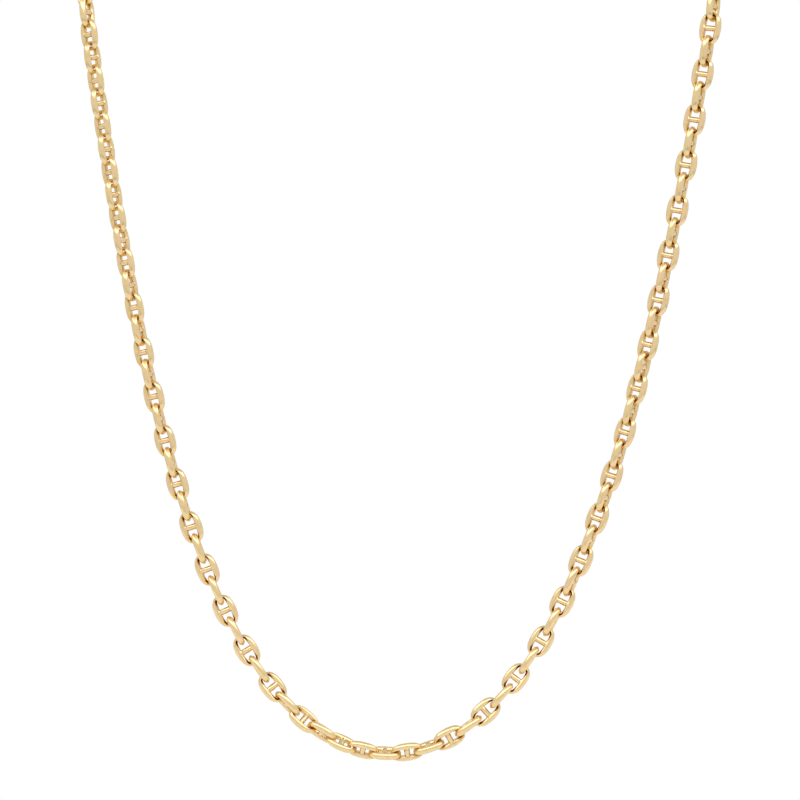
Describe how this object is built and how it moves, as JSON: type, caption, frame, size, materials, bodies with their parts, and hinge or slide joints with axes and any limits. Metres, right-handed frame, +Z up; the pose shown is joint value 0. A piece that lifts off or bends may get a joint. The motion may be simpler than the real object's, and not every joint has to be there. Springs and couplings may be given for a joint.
{
  "type": "neck chain of anchor links",
  "caption": "Whole neck chain of oval anchor links, each with a round bar across it, hanging in a long narrow U in front and closed by a plain clasp at the nape.",
  "frame": {"origin": "middle of the clasp's face that rests on the nape of the neck", "axes": "+Z up; the hanging front faces -Y, towards someone who looks at the wearer; +X is that viewer's right"},
  "size_m": [0.109, 0.0765, 0.1618],
  "materials": {
    "gold": "polished"
  },
  "bodies": {
    "root": {"left_chain": "gold", "right_chain": "gold", "clasp": "gold"}
  },
  "joints": []
}
